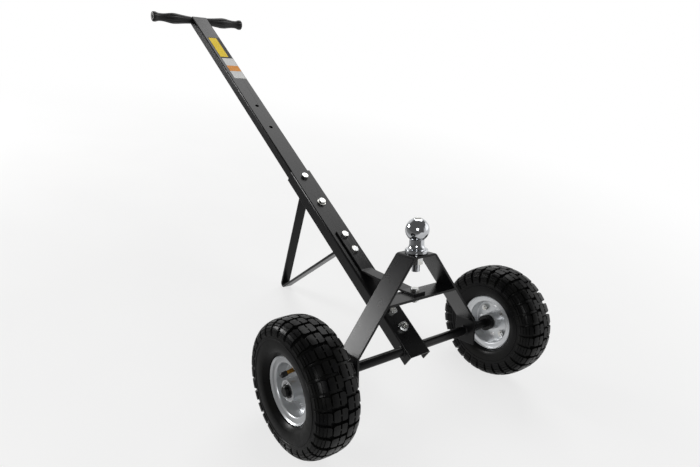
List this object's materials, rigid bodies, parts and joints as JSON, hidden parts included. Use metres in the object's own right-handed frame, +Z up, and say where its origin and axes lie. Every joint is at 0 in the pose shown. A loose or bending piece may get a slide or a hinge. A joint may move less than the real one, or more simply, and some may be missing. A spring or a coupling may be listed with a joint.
{
  "type": "trailer dolly",
  "caption": "Hand trailer dolly with a hitch ball on a bent frame, pneumatic wheels on a plain axle, and a long column with a T-handle and kickstand.",
  "frame": {"origin": "middle of the part's box in X and Y, on the floor that the tyres and the stand's foot touch", "axes": "+Z up, +Y from the wheels towards the handle, +X to the right seen from the wheels; the axle runs along X"},
  "size_m": [0.6342, 1.3106, 0.6087],
  "materials": {
    "black_paint": "satin black powder coat",
    "zinc": "bright zinc plating",
    "ball_plating": "polished and plated, lightly marked",
    "rim_plating": "pressed sheet steel, satin zinc plating",
    "bearing_steel": "ground steel",
    "tyre_rubber": "moulded black rubber",
    "tube_rubber": "smooth black rubber",
    "grip_rubber": "soft moulded black rubber",
    "brass": "turned brass",
    "cap_plastic": "moulded black plastic"
  },
  "bodies": {
    "frame": {"axle": "black_paint", "axle_collars": "black_paint", "bearing_inner_races": "bearing_steel", "axle_end_rings": "black_paint", "a_frame": "black_paint", "cross_brace": "black_paint", "column_channel": "black_paint", "handle_tube": "black_paint", "handlebar": "black_paint", "grip_left": "grip_rubber", "grip_right": "grip_rubber", "column_strut": "black_paint", "kickstand": "black_paint", "backing_plate": "black_paint", "hitch_ball": "ball_plating", "ball_lock_washer": "zinc", "ball_nut": "zinc", "handle_bolts": "zinc", "strut_bolts": "zinc", "brace_bolt": "zinc", "plate_bolts": "zinc", "frame_nuts": "zinc", "flat_washers": "zinc"},
    "left_wheel": {"left_tyre": "tyre_rubber", "left_inner_tube": "tube_rubber", "left_rim_outer": "rim_plating", "left_rim_inner": "rim_plating", "left_hub_tube": "rim_plating", "left_bearings": "bearing_steel", "left_rim_bolts": "zinc", "left_rim_nuts": "zinc", "left_valve_stem": "brass", "left_valve_cap": "cap_plastic"},
    "right_wheel": {"right_tyre": "tyre_rubber", "right_inner_tube": "tube_rubber", "right_rim_outer": "rim_plating", "right_rim_inner": "rim_plating", "right_hub_tube": "rim_plating", "right_bearings": "bearing_steel", "right_rim_bolts": "zinc", "right_rim_nuts": "zinc", "right_valve_stem": "brass", "right_valve_cap": "cap_plastic"}
  },
  "joints": [
    {"name": "left_wheel_spin", "type": "hinge", "parent": "frame", "child": "left_wheel", "pos_m": [-0.273, -0.52537, 0.13], "axis": [1, 0, 0], "continuous": true},
    {"name": "right_wheel_spin", "type": "hinge", "parent": "frame", "child": "right_wheel", "pos_m": [0.273, -0.52537, 0.13], "axis": [1, 0, 0], "continuous": true}
  ]
}
